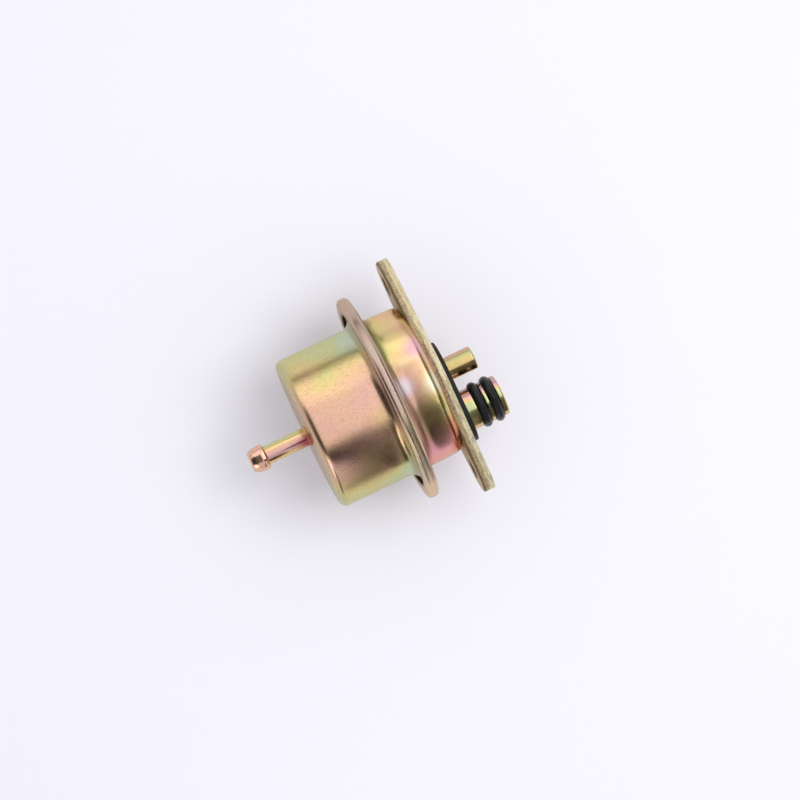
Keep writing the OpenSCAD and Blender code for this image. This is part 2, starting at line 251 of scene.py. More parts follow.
def cloudRough(tree, out, finish):
    return span(tree, out["Cloud"], 0.3, 0.7, *finish["rough"])


# film that a patch has more or less of than its surroundings
def patches(tree, coord, spots):
    total = None
    for place, reach, shift in spots:
        away = addNode(tree, "ShaderNodeVectorMath", operation="DISTANCE")
        tree.links.new(coord, away.inputs[0])
        away.inputs[1].default_value = tuple(v * mm for v in place)
        part = span(tree, away.outputs["Value"], reach * mm, 0.2 * reach * mm, 0.0, shift)
        total = part if total is None else plus(tree, total, part)
    return total


# lengths in the finishes are in metres, patches in millimetres
canFinish = {
    "rough": (0.22, 0.33),
    "drift": 0.46,
    "scale": 75.0,
    "offset": (0.3, 0.1, 0.7),
    "edgeTint": (0.86, 0.87, 0.76),
    "bump": 0.16,
    "radius": 0.0212,
    "frontFilm": 0.60,
    "flankFilm": (0.06, 0.22),  # from the rim to the closed end
    "flankLevel": (0.018, 0.037),
    "wear": (0.32, 0.22, 0.15),
    # painted shade: dark brown in the fillet under the rim, strongest near the middle in X
    "filletShade": (0.22, 0.135, 0.08),
    "filletShadeReach": (0.02117, 0.02165),
    "filletShadeLevel": (0.0198, 0.0185),
    "filletShadeMiddle": -0.0022,
    "filletShadeSide": (0.0075, 0.0030, 0.55, 0.92),
    "cornerTint": (0.40, 0.34, 0.20),
    "cornerLevel": (0.0362, 0.0382, 0.0, 0.35),
    # painted shade: near black on the spring can's flange inside the rim's lip
    "recessShadeTint": (0.045, 0.036, 0.028),
    "recessShadeReach": (0.0221, 0.0238),
    "recessShadeLevel": (0.0180, 0.0170),
    "spots": (
        ((10.5, -18.4, 29.5), 6.0, -0.16), ((17.0, -12.6, 20.0), 7.0, -0.10),
        ((15.6, -14.3, 33.0), 6.0, 0.12), ((-12.0, -17.5, 35.5), 8.0, 0.22),
        ((-16.5, -13.3, 23.0), 6.0, 0.20), ((3.5, -20.9, 22.0), 6.0, 0.12),
        ((-4.5, -20.7, 21.0), 5.0, -0.12), ((-14.2, -15.7, 20.5), 5.5, 0.20), ((0.0, 21.2, 28.0), 9.0, 0.18),
        ((15.0, 15.0, 24.0), 8.0, -0.18),
    ),
}


def canMaterial(finish):
    material, tree, shader, coord, parts = startMaterial("springCanZinc")
    across = calc(tree, "ABSOLUTE", calc(tree, "DIVIDE", parts["X"], finish["radius"]))
    flank = span(tree, parts["Z"], *finish["flankLevel"], *finish["flankFilm"])
    front = times(tree, span(tree, across, 0.98, 0.30), minus(tree, finish["frontFilm"], flank))
    film = plus(tree, plus(tree, front, flank), patches(tree, coord, finish["spots"]))
    out = filmNode(tree, film, finish)
    streak = noiseValue(tree, stretched(tree, coord, (1.0, 1.0, 0.3)), 2600.0, 3.0, 0.6)
    reach = fromAxis(tree, parts)
    # painted shade in the recess inside the rim's lip
    recessShade = times(tree, span(tree, reach, *finish["recessShadeReach"]), span(tree, parts["Z"], *finish["recessShadeLevel"]))
    level = span(tree, parts["Z"], *finish["filletShadeLevel"])
    # painted shade in the fillet under the rim
    filletShadeMask = times(tree, span(tree, reach, *finish["filletShadeReach"]), level)
    aside = calc(tree, "ABSOLUTE", minus(tree, parts["X"], finish["filletShadeMiddle"]))
    filletShadeMask = times(tree, filletShadeMask, span(tree, aside, *finish["filletShadeSide"]))
    tint = blendColour(tree, span(tree, streak, 0.48, 0.70, 0.0, 0.30), out["Tint"], finish["wear"])
    tint = blendColour(tree, filletShadeMask, tint, finish["filletShade"])
    tint = blendColour(tree, span(tree, parts["Z"], *finish["cornerLevel"]), tint, finish["cornerTint"])
    tint = blendColour(tree, times(tree, recessShade, 0.92), tint, finish["recessShadeTint"])
    tree.links.new(tint, shader.inputs["Base Color"])
    rough = plus(tree, cloudRough(tree, out, finish), around(tree, streak, 0.08))
    tree.links.new(plus(tree, rough, times(tree, recessShade, 0.3)), shader.inputs["Roughness"])
    feed(tree, shader, Metallic=1.0, Specular_Tint=(*finish["edgeTint"], 1.0))
    height = plus(tree, times(tree, streak, 0.4), times(tree, out["Grain"], 0.6))
    bumped(tree, shader, height, finish["bump"], 0.0001)
    return material


# across and slope run from -X to +X: film at half height, and how far it changes between rim and plate
fuelFinish = {
    "rough": (0.17, 0.25),
    "drift": 0.30,
    "scale": 110.0,
    "offset": (0.9, 0.4, 0.2),
    "edgeTint": (0.92, 0.80, 0.66),
    "bump": 0.10,
    "radius": 0.0212,
    "across": ((0.0, 0.80), (0.08, 0.88), (0.15, 0.48), (0.28, 0.34), (0.5, 0.60), (0.75, 0.45), (1.0, 0.42)),
    "slope": ((0.0, 0.46), (0.25, 0.45), (0.5, 0.25), (0.75, 0.70), (1.0, 0.62)),
    "slopeLevel": (0.0125, 0.0040),
    "wallReach": (0.0228, 0.0214),
    "dullLevel": (0.0114, 0.0132),
    "dullRough": 0.22,
    "rimLevel": (0.0128, 0.0145),
    "rimRough": 0.06,
    "rimHigh": (0.47, 0.34, 0.32),
    "rimLow": (0.68, 0.58, 0.38),
    "rimSide": (-0.022, 0.010),
    # painted shade: near black on the inner edge of the rim's lip
    "recessShadeTint": (0.05, 0.04, 0.03),
    "recessShadeReach": (0.0262, 0.0250),
    "recessShadeLevel": (0.0153, 0.0161),
    # pale patches on the front: the white and the cream ones are painted highlights, the pink and the gold
    # ones film
    "pale": (
        ((0.88, 0.80, 0.86), 0.75, (0.5, -21.2, 12.2), 4.0),
        ((0.88, 0.86, 0.66), 0.75, (-1.5, -21.2, 4.2), 4.4),
        ((0.74, 0.42, 0.62), 0.50, (9.0, -19.0, 4.8), 4.5),
        ((0.90, 0.74, 0.30), 0.55, (12.5, -17.0, 8.5), 5.0),
    ),
    # stains, and one painted shade
    "stainsAndShade": (
        ((0.80, 0.33, 0.33), 0.60, (-0.0105, -0.0160), (0.0300, 0.0200)),
        ((0.62, 0.19, 0.09), 0.75, (-0.0090, -0.0140), (0.0066, 0.0046)),
        ((0.44, 0.28, 0.08), 0.70, (0.0080, 0.0150), (0.0062, 0.0046)),
        # painted shade: dark olive on the +X side just under the rim
        ((0.15, 0.16, 0.05), 0.80, (0.0010, 0.0070), (0.0112, 0.0132)),
        ((0.72, 0.34, 0.32), 0.65, (-0.0010, -0.0060), (0.0112, 0.0130)),
    ),
}


def fuelMaterial(finish):
    material, tree, shader, coord, parts = startMaterial("fuelCanZinc")
    across = span(tree, parts["X"], -finish["radius"], finish["radius"], linear=True)
    down = span(tree, parts["Z"], *finish["slopeLevel"])
    slope = minus(tree, toneRamp(tree, across, finish["slope"]), 0.5)
    lean = times(tree, slope, minus(tree, times(tree, down, 2.0), 1.0))
    out = filmNode(tree, plus(tree, toneRamp(tree, across, finish["across"]), lean), finish)
    rim = span(tree, parts["Z"], *finish["rimLevel"])
    reach = fromAxis(tree, parts)
    wall = span(tree, reach, *finish["wallReach"])
    upward = span(tree, parts["X"], *finish["rimSide"])
    rimTone = blendColour(tree, upward, finish["rimLow"], finish["rimHigh"])
    wornAndPaintedTint = blendColour(tree, rim, out["Tint"], blendColour(tree, 0.8, out["Tint"], rimTone))
    level = plus(tree, parts["Z"], around(tree, noiseValue(tree, coord, 170.0, 2.0), 0.0028))
    # stains and a painted shade
    for colour, amount, side, height in finish["stainsAndShade"]:
        where = times(tree, span(tree, parts["X"], *side), span(tree, level, *height))
        wornAndPaintedTint = blendColour(tree, times(tree, times(tree, where, wall), amount), wornAndPaintedTint, colour)
    # pale patches, among them painted highlights
    for colour, amount, place, size in finish["pale"]:
        wornAndPaintedTint = blendColour(tree, patches(tree, coord, ((place, size, amount),)), wornAndPaintedTint, colour)
    # painted shade in the slot inside the rim's lip
    recessShade = times(tree, span(tree, reach, *finish["recessShadeReach"]), span(tree, parts["Z"], *finish["recessShadeLevel"]))
    tint = blendColour(tree, times(tree, recessShade, 0.85), wornAndPaintedTint, finish["recessShadeTint"])
    tree.links.new(tint, shader.inputs["Base Color"])
    dull = times(tree, span(tree, parts["Z"], *finish["dullLevel"]), times(tree, wall, finish["dullRough"]))
    dull = plus(tree, times(tree, rim, finish["rimRough"]), dull)
    tree.links.new(plus(tree, cloudRough(tree, out, finish), dull), shader.inputs["Roughness"])
    feed(tree, shader, Metallic=1.0, Specular_Tint=(*finish["edgeTint"], 1.0))
    bumped(tree, shader, out["Grain"], finish["bump"], 0.0001)
    return material


# the punched edge, from the lower face up: sheared land, torn zone, rolled corner
plateFinish = {
    "rough": (0.42, 0.58),
    "film": 0.36,
    "drift": 0.30,
    "scale": 120.0,
    "offset": (0.2, 0.8, 0.5),
    "khaki": (0.46, 0.38, 0.24),
    "landTop": (0.00165, 0.00125),
    "landSide": (0.022, -0.004, 0.40, 0.85),
    "landPale": (0.95, 0.91, 0.66),
    "landPits": (0.62, 0.54, 0.36),
    "landScrapes": (0.46, 0.39, 0.23),
    "tornLow": (0.00125, 0.00165),
    "tornHigh": (0.0027, 0.0023),
    "tornPale": (0.58, 0.47, 0.29),
    "tornDark": (0.24, 0.17, 0.10),
    # painted shade: darker reddish speckle in the middle of the torn zone, where the can overhangs the plate
    "tornShadeSide": (0.012, 0.006),
    "tornShadePale": (0.50, 0.33, 0.26),
    "tornShadeDark": (0.16, 0.08, 0.06),
    # the rolled corner: painted shade in dark brown towards the ends, a painted gold highlight in the middle
    "rollLevel": (0.00235, 0.00265),
    "rollEndShade": (0.15, 0.095, 0.055),
    "rollMiddleHighlight": (0.60, 0.40, 0.20),
    "rollSide": (0.0170, 0.0135),
    "upperFace": (0.00312, 0.00318),
    "lowerFace": (0.00010, 0.00004),
}


def plateMaterial(finish):
    material, tree, shader, coord, parts = startMaterial("plateZinc")
    out = filmNode(tree, finish["film"], finish)
    khaki = blendColour(tree, 0.55, out["Tint"], finish["khaki"])
    level = plus(tree, parts["Z"], around(tree, noiseValue(tree, coord, 700.0, 3.0, 0.6), 0.0007))
    aside = calc(tree, "ABSOLUTE", parts["X"])
    torn = times(tree, span(tree, level, *finish["tornLow"]), span(tree, level, *finish["tornHigh"]))
    # painted shade under the can's overhang
    tornShade = times(tree, torn, span(tree, aside, *finish["tornShadeSide"]))
    speckle = noiseValue(tree, coord, 2600.0, 3.0, 0.7)
    tornTint = blendColour(tree, span(tree, speckle, 0.44, 0.60), finish["tornPale"], finish["tornDark"])
    tornShadeTint = blendColour(tree, span(tree, speckle, 0.46, 0.58), finish["tornShadePale"], finish["tornShadeDark"])
    tint = blendColour(tree, times(tree, torn, 0.8), khaki, tornTint)
    tint = blendColour(tree, times(tree, tornShade, 0.8), tint, tornShadeTint)
    pits = span(tree, noiseValue(tree, coord, 1500.0, 4.0, 0.7), 0.46, 0.66)
    sheared = stretched(tree, coord, (0.10, 0.10, 1.0))
    scrape = span(tree, noiseValue(tree, sheared, 3200.0, 3.0, 0.6), 0.44, 0.62)
    land = blendColour(tree, times(tree, pits, 0.6), finish["landPale"], finish["landPits"])
    land = blendColour(tree, times(tree, scrape, 0.85), land, finish["landScrapes"])
    shiny = times(tree, span(tree, level, *finish["landTop"]), span(tree, parts["X"], *finish["landSide"]))
    tint = blendColour(tree, shiny, tint, land)
    # painted shade and painted highlight on the rolled corner
    beside = span(tree, aside, *finish["rollSide"])
    rollShadeAndHighlight = blendColour(tree, beside, finish["rollEndShade"], finish["rollMiddleHighlight"])
    tint = blendColour(tree, times(tree, span(tree, level, *finish["rollLevel"]), 0.88), tint, rollShadeAndHighlight)
    upper = span(tree, parts["Z"], *finish["upperFace"])
    faces = plus(tree, upper, span(tree, parts["Z"], *finish["lowerFace"]))
    tree.links.new(blendColour(tree, faces, tint, khaki), shader.inputs["Base Color"])
    rough = plus(tree, cloudRough(tree, out, finish), times(tree, torn, 0.12))
    tree.links.new(rough, shader.inputs["Roughness"])
    feed(tree, shader, Metallic=0.5)
    height = plus(tree, times(tree, speckle, plus(tree, torn, 0.15)), times(tree, out["Grain"], 0.25))
    bumped(tree, shader, height, 0.35, 0.0002)
    return material


nippleFinish = {
    "rough": (0.11, 0.19),
    "drift": 0.24,
    "scale": 150.0,
    "offset": (0.6, 0.2, 0.4),
    "radius": 0.0025,
    "across": (
        (0.0, 0.34), (0.14, 0.40), (0.3, 0.80), (0.46, 0.88),
        (0.57, 0.62), (0.75, 0.46), (0.86, 0.24), (1.0, 0.14),
    ),
    "tipFilm": 0.66,
    "tipLevel": (0.0505, 0.0518),
    "brown": (0.50, 0.24, 0.09),  # brazing heat at the joint
    "brownLevel": (0.0414, 0.0397),
    # painted shade: dark red on the -X side of the nipple near its joint
    "sideShade": (0.40, 0.08, 0.10),
    "sideShadeLevel": (0.0450, 0.0402),
    "sideShadeSide": (0.0008, -0.0009),
    "edgeTint": (0.86, 0.86, 0.62),
}


def nippleMaterial(finish):
    material, tree, shader, coord, parts = startMaterial("nippleZinc")
    across = span(tree, parts["X"], -finish["radius"], finish["radius"], linear=True)
    side = toneRamp(tree, across, finish["across"])
    tip = span(tree, parts["Z"], *finish["tipLevel"])
    film = plus(tree, times(tree, side, minus(tree, 1.0, tip)), times(tree, tip, finish["tipFilm"]))
    out = filmNode(tree, film, finish)
    along = plus(tree, parts["Z"], around(tree, noiseValue(tree, coord, 600.0), 0.0024))
    heat = span(tree, along, *finish["brownLevel"])
    # painted shade on the -X side near the joint
    sideShadeBand = span(tree, along, *finish["sideShadeLevel"])
    sideShade = times(tree, sideShadeBand, span(tree, parts["X"], *finish["sideShadeSide"]))
    tint = blendColour(tree, times(tree, heat, 0.75), out["Tint"], finish["brown"])
    tint = blendColour(tree, times(tree, sideShade, 0.85), tint, finish["sideShade"])
    tree.links.new(tint, shader.inputs["Base Color"])
    rough = plus(tree, cloudRough(tree, out, finish), times(tree, heat, 0.12))
    tree.links.new(rough, shader.inputs["Roughness"])
    feed(tree, shader, Metallic=1.0, Specular_Tint=(*finish["edgeTint"], 1.0))
    bumped(tree, shader, out["Grain"], 0.06, 0.0001)
    return material


returnFinish = {
    "rough": (0.16, 0.26),
    "drift": 0.20,
    "scale": 240.0,
    "offset": (0.1, 0.5, 0.9),
    "axisX": 0.0,
    "radius": 0.003175,
    "across": ((0.0, 0.40), (0.3, 0.34), (0.5, 0.34), (0.68, 0.24), (0.82, 0.16), (0.92, 0.60), (1.0, 0.92)),
    "tone": (0.82, 0.81, 0.78),
}
inletFinish = {
    "rough": (0.14, 0.24),
    "drift": 0.36,
    "scale": 300.0,
    "offset": (0.4, 0.9, 0.3),
    "axisX": -0.0121,
    "radius": 0.00555,
    "across": (
        (0.0, 0.50), (0.15, 0.30), (0.32, 0.16), (0.48, 0.10),
        (0.64, 0.12), (0.74, 0.62), (0.84, 0.90), (1.0, 0.96),
    ),
    "tone": (0.92, 0.92, 0.92),
}


def portMaterial(name, finish):
    material, tree, shader, coord, parts = startMaterial(name)
    bands = times(tree, calc(tree, "SINE", times(tree, parts["Z"], 1500.0)), 0.03)
    low, high = finish["axisX"] - finish["radius"], finish["axisX"] + finish["radius"]
    side = toneRamp(tree, span(tree, parts["X"], low, high, linear=True), finish["across"])
    out = filmNode(tree, plus(tree, bands, side), finish)
    tint = blendColour(tree, 1.0, out["Tint"], finish["tone"], "MULTIPLY")
    tree.links.new(tint, shader.inputs["Base Color"])
    tree.links.new(cloudRough(tree, out, finish), shader.inputs["Roughness"])
    feed(tree, shader, Metallic=1.0, Specular_Tint=(0.88, 0.88, 0.70, 1.0))
    line = noiseValue(tree, stretched(tree, coord, (0.05, 0.05, 1.0)), 9000.0, 2.0, 0.5)
    bumped(tree, shader, line, 0.10, 0.00008)
    return material


def rubberMaterial(name, tone, rough):
    material, tree, shader, coord, _ = startMaterial(name)
    bloom = noiseValue(tree, coord, 260.0, 4.0, 0.6)
    bloomTone = tuple(v * 1.9 for v in tone)
    tint = blendColour(tree, span(tree, bloom, 0.35, 0.75), tone, bloomTone)
    tree.links.new(tint, shader.inputs["Base Color"])
    tree.links.new(span(tree, bloom, 0.3, 0.7, *rough), shader.inputs["Roughness"])
    feed(tree, shader, Specular_IOR_Level=0.35)
    pores = noiseValue(tree, coord, 3800.0, 2.0, 0.6)
    lumps = noiseValue(tree, coord, 900.0, 2.0, 0.5)
    bumped(tree, shader, plus(tree, pores, times(tree, lumps, 3.5)), 0.42, 0.00014)
    return material


def steelMaterial(name, light, dark, rough, turned):
    material, tree, shader, coord, _ = startMaterial(name)
    lathe = stretched(tree, coord, (0.06, 0.06, 1.0) if turned else (1.0, 1.0, 1.0))
    line = noiseValue(tree, lathe, 4200.0, 3.0, 0.55)
    cloud = noiseValue(tree, coord, 160.0, 3.0, 0.55)
    tree.links.new(blendColour(tree, span(tree, cloud, 0.3, 0.72), light, dark), shader.inputs["Base Color"])
    tree.links.new(span(tree, line, 0.3, 0.7, *rough), shader.inputs["Roughness"])
    feed(tree, shader, Metallic=1.0)
    bumped(tree, shader, line, 0.08, 0.00008)
    return material


finishes = {
    "can": canMaterial(canFinish),
    "fuel": fuelMaterial(fuelFinish),
    "plate": plateMaterial(plateFinish),
    "nipple": nippleMaterial(nippleFinish),
    "return": portMaterial("returnZinc", returnFinish),
    "inlet": portMaterial("inletZinc", inletFinish),
    "seal": rubberMaterial("sealRubber", (0.007, 0.007, 0.009), (0.22, 0.46)),
    "gasket": rubberMaterial("gasketRubber", (0.012, 0.012, 0.011), (0.5, 0.7)),
    "diaphragm": rubberMaterial("diaphragmRubber", (0.11, 0.07, 0.045), (0.6, 0.78)),
    "steel": steelMaterial("plainSteel", (0.62, 0.62, 0.60), (0.50, 0.50, 0.49), (0.24, 0.38), True),
    "spring": steelMaterial("springSteel", (0.36, 0.37, 0.39), (0.26, 0.27, 0.29), (0.30, 0.44), False),
    "ball": steelMaterial("ballSteel", (0.80, 0.81, 0.82), (0.74, 0.75, 0.76), (0.05, 0.09), False),
    "brass": steelMaterial("seatBrass", (0.76, 0.58, 0.26), (0.66, 0.48, 0.20), (0.20, 0.32), True),
}
print("finishes ready:", len(finishes))


# turned pieces: a closed section in radius and height is wound about the axis
def roundedLoop(corners, stride, degreesPerStep=9, shortest=1e-5):
    count = len(corners)
    points = []
    for here in range(count):
        before = Vector(corners[here - 1][:2])
        corner = Vector(corners[here][:2])
        after = Vector(corners[(here + 1) % count][:2])
        radius = corners[here][2] if len(corners[here]) > 2 else 0.0
        if radius <= 0:
            points.append(corner)
            continue
        back, on = (before - corner).normalized(), (after - corner).normalized()
        half = back.angle(on) / 2
        middle = corner + (back + on).normalized() * (radius / math.sin(half))
        first = corner + back * (radius / math.tan(half)) - middle
        last = corner + on * (radius / math.tan(half)) - middle
        sweep = math.pi - 2 * half
        turn = math.copysign(sweep, first.x * last.y - first.y * last.x)
        steps = max(3, math.ceil(math.degrees(sweep) / degreesPerStep))
        for step in range(steps + 1):
            angle = turn * step / steps
            points.append(middle + Vector((
                first.x * math.cos(angle) - first.y * math.sin(angle),
                first.x * math.sin(angle) + first.y * math.cos(angle),
            )))
    dense = []
    for place, point in enumerate(points):
        nextPoint = points[(place + 1) % len(points)]
        run = (nextPoint - point).length
        if run < shortest:
            continue
        pieces = max(1, math.ceil(run / stride))
        dense += [point.lerp(nextPoint, part / pieces) for part in range(pieces)]
    return dense


def buildTurnTree():
    tree = bpy.data.node_groups.new("turnedSection", "GeometryNodeTree")
    for name, kind in (
        ("Section", "NodeSocketGeometry"),
        ("Steps", "NodeSocketInt"),
        ("Axis X", "NodeSocketFloat"),
        ("Wobble", "NodeSocketFloat"),
        ("Wobble Scale", "NodeSocketFloat"),
        ("Seed", "NodeSocketFloat"),
        ("Finish", "NodeSocketMaterial"),
    ):
        tree.interface.new_socket(name, in_out="INPUT", socket_type=kind)
    tree.interface.new_socket("Skin", in_out="OUTPUT", socket_type="NodeSocketGeometry")
    given, result = addNode(tree, "NodeGroupInput"), addNode(tree, "NodeGroupOutput")
    size = addNode(tree, "GeometryNodeAttributeDomainSize", component="MESH")
    tree.links.new(given.outputs["Section"], size.inputs[0])
    count, steps = size.outputs["Point Count"], given.outputs["Steps"]
    grid = addNode(tree, "GeometryNodeMeshGrid")
    feed(tree, grid, Size_X=1.0, Size_Y=1.0,
         Vertices_X=plus(tree, steps, 1.0), Vertices_Y=plus(tree, count, 1.0))
    spot = addNode(tree, "GeometryNodeInputPosition").outputs[0]
    cell = addNode(tree, "ShaderNodeSeparateXYZ")
    tree.links.new(spot, cell.inputs[0])
    turn = calc(tree, "ROUND", times(tree, plus(tree, cell.outputs[0], 0.5), steps))
    row = calc(tree, "ROUND", times(tree, plus(tree, cell.outputs[1], 0.5), count))
    sample = addNode(tree, "GeometryNodeSampleIndex", data_type="FLOAT_VECTOR", domain="POINT")
    tree.links.new(given.outputs["Section"], sample.inputs["Geometry"])
    tree.links.new(spot, sample.inputs["Value"])
    tree.links.new(calc(tree, "MODULO", row, count), sample.inputs["Index"])
    section = addNode(tree, "ShaderNodeSeparateXYZ")
    tree.links.new(sample.outputs[0], section.inputs[0])
    angle = calc(tree, "DIVIDE", times(tree, turn, math.tau), steps)
    cosine, sine = calc(tree, "COSINE", angle), calc(tree, "SINE", angle)
    radius, height = section.outputs[0], section.outputs[2]
    plain = addNode(tree, "ShaderNodeCombineXYZ")
    for place, value in enumerate((times(tree, radius, cosine), times(tree, radius, sine), height)):
        tree.links.new(value, plain.inputs[place])
    ripple = addNode(tree, "ShaderNodeTexNoise", noise_dimensions="4D")
    feed(tree, ripple, Vector=plain.outputs[0], W=given.outputs["Seed"],
         Scale=given.outputs["Wobble Scale"], Detail=2.0)
    uneven = plus(tree, radius, around(tree, ripple.outputs["Fac"], given.outputs["Wobble"]))
    x = plus(tree, times(tree, uneven, cosine), given.outputs["Axis X"])
    y = times(tree, uneven, sine)
    placed = addNode(tree, "ShaderNodeCombineXYZ")
    for place, value in enumerate((x, y, height)):
        tree.links.new(value, placed.inputs[place])
    shape = addNode(tree, "GeometryNodeSetPosition")
    tree.links.new(grid.outputs["Mesh"], shape.inputs["Geometry"])
    tree.links.new(placed.outputs[0], shape.inputs["Position"])
    merge = addNode(tree, "GeometryNodeMergeByDistance")
    tree.links.new(shape.outputs[0], merge.inputs["Geometry"])
    merge.inputs["Distance"].default_value = 1e-6  # closes the seam where the winding ends
    realize = addNode(tree, "GeometryNodeRealizeInstances")
    tree.links.new(merge.outputs[0], realize.inputs[0])
    paint = addNode(tree, "GeometryNodeSetMaterial")
    tree.links.new(realize.outputs[0], paint.inputs["Geometry"])
    tree.links.new(given.outputs["Finish"], paint.inputs["Material"])
    tree.links.new(paint.outputs[0], result.inputs["Skin"])
    return tree


turnTree = buildTurnTree()
turnInputs = {
    item.name: item.identifier for item in turnTree.interface.items_tree if item.in_out == "INPUT"
}


def cleanMesh(mesh, crease, weld=1e-7):
    work = bmesh.new()
    work.from_mesh(mesh)
    bmesh.ops.remove_doubles(work, verts=work.verts, dist=weld)
    bmesh.ops.dissolve_degenerate(work, edges=work.edges, dist=weld)
    bmesh.ops.recalc_face_normals(work, faces=work.faces)
    for face in work.faces:
        face.smooth = True
    for edge in work.edges:
        edge.smooth = edge.calc_face_angle(0.0) < math.radians(crease)
    work.to_mesh(mesh)
    work.free()


def linkPiece(settings, mesh):
    piece = bpy.data.objects.new(settings["name"], mesh)
    scene.collection.objects.link(piece)
    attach(piece, "housing")
    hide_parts(settings["node"])


def turnPiece(settings, cutters=()):
    loop = roundedLoop(settings["section"], settings["stride"])
    wire = bpy.data.meshes.new(settings["name"] + "Section")
    ends = [(here, (here + 1) % len(loop)) for here in range(len(loop))]
    wire.from_pydata([(p.x * mm, 0.0, p.y * mm) for p in loop], ends, [])
    maker = bpy.data.objects.new(settings["name"] + "Maker", wire)
    scene.collection.objects.link(maker)
    turn = maker.modifiers.new("turn", "NODES")
    turn.node_group = turnTree
    for name, value in (
        ("Steps", settings["steps"]),
        ("Axis X", settings["axisX"] * mm),
        ("Wobble", settings["wobble"] * mm),
        ("Wobble Scale", settings["wobbleScale"]),
        ("Seed", settings["seed"]),
        ("Finish", finishes[settings["finish"]]),
    ):
        turn[turnInputs[name]] = value
    for place, cutter in enumerate(cutters):
        cut = maker.modifiers.new("cut%d" % place, "BOOLEAN")
        cut.object, cut.operation, cut.solver = cutter, "DIFFERENCE", "EXACT"
    mesh = bpy.data.meshes.new_from_object(maker.evaluated_get(bpy.context.evaluated_depsgraph_get()))
    mesh.name = settings["name"]
    bpy.data.objects.remove(maker)
    cleanMesh(mesh, 35.0)
    linkPiece(settings, mesh)


# corners of a section are radius, height and rounding in millimetres
springCan = {
    "name": "spring_can",
    "node": "spring_housing",
    "slot": "spring_can_zinc",
    "finish": "can",
    "axisX": 0.0,
    "section": [
        (2.55, 38.95, 0.06), (21.2, 38.95, 2.0), (21.2, 16.3, 2.9), (27.175, 16.3, 0.1),
        (27.175, 15.45, 0.1), (20.35, 15.45, 3.75), (20.35, 38.1, 1.15), (2.55, 38.1, 0.06),
    ],
    "stride": 0.7,
    "steps": 256,
    "wobble": 0.03,
    "wobbleScale": 45.0,
    "seed": 3.0,
}
fuelCan = {
    "name": "fuel_can",
    "node": "fuel_housing",
    "slot": "fuel_can_zinc",
    "finish": "fuel",
    "axisX": 0.0,
    "section": [
        (2.85, 3.2, 0.06), (20.95, 3.2, 2.0), (21.3, 11.0, 14.0), (20.95, 14.1, 2.0),
        (28.98, 14.1, 1.2), (28.98, 17.15, 1.05), (24.8, 17.15, 0.3), (24.8, 16.3, 0.08),
        (28.15, 16.3, 0.6749), (28.15, 14.95, 0.6749), (20.35, 14.95, 2.85), (20.35, 4.05, 1.15),
        (2.85, 4.05, 0.06),
    ],
    "stride": 0.7,
    "steps": 256,
    "wobble": 0.04,
    "wobbleScale": 40.0,
    "seed": 8.0,
    "inletHole": (-12.1, 4.25, 2.2, 5.0),  # middle, radius, lower and upper end
}
nipple = {
    "name": "hose_nipple",
    "node": "vacuum_nipple",
    "slot": "nipple_zinc",
    "finish": "nipple",
    "axisX": 0.0,
    "section": [
        (1.5, 37.3, 0.1), (4.2, 37.3, 0.12), (4.2, 38.1, 0.1), (2.5, 38.1, 0.0), (2.5, 38.95, 0.0),
        (2.95, 38.97, 0.05), (2.5, 39.48, 0.35), (2.5, 51.12, 0.15), (3.4, 51.22, 0.5), (3.52, 52.4, 1.2),
        (3.3, 54.4, 1.6), (2.7, 55.75, 0.9), (1.5, 55.75, 0.3),
    ],
    "stride": 0.5,
    "steps": 128,
    "wobble": 0.03,
    "wobbleScale": 140.0,
    "seed": 5.0,
}
returnTube = {
    "name": "return_pipe",
    "node": "return_tube",
    "slot": "port_zinc",
    "finish": "return",
    "axisX": 0.0,
    "section": [
        (2.5, -9.7, 0.12), (3.175, -9.7, 0.35), (3.175, 0.0, 0.0), (2.8, 0.0, 0.0), (2.8, 5.55, 0.1),
        (2.15, 5.55, 0.05), (2.15, -9.35, 0.1),
    ],
    "stride": 0.7,
    "steps": 128,
    "wobble": 0.03,
    "wobbleScale": 150.0,
    "seed": 2.0,
}
inletStub = {
    "name": "inlet_spigot",
    "node": "inlet_stub",
    "slot": "port_zinc",
    "finish": "inlet",
    "axisX": -12.1,
    "section": [
        (2.75, -12.1, 0.1), (5.55, -12.1, 0.4), (5.55, -10.8, 0.12),
        (3.705, -10.8, 0.15), (3.705, -8.0, 0.15),
        (5.55, -8.0, 0.12), (5.55, -7.15, 0.12), (3.705, -7.15, 0.15),
        (3.705, -4.35, 0.15), (5.55, -4.35, 0.15),
        (5.55, 0.0, 0.0), (4.2, 0.0, 0.0), (4.2, 4.05, 0.0), (4.8, 4.05, 0.05), (4.45, 4.75, 0.1),
        (2.4, 4.75, 0.05), (2.4, -11.75, 0.1),
    ],
    "stride": 0.7,
    "steps": 160,
    "wobble": 0.02,
    "wobbleScale": 120.0,
    "seed": 6.0,
}


def ringSection(height, middle=5.105, radius=1.31, sides=40):
    angles = [math.tau * side / sides for side in range(sides)]
    return [(middle + radius * math.cos(a), height + radius * math.sin(a)) for a in angles]


innerRing = {
    "name": "inner_seal_ring",
    "node": "inner_o_ring",
    "slot": "seal_rubber",
    "finish": "seal",
    "axisX": -12.1,
    "section": ringSection(-5.75),
    "stride": 0.7,
    "steps": 144,
    "wobble": 0.05,
    "wobbleScale": 110.0,
    "seed": 4.0,
}
outerRing = {
    **innerRing, "name": "outer_seal_ring", "node": "outer_o_ring", "section": ringSection(-9.4), "seed": 9.0,
}


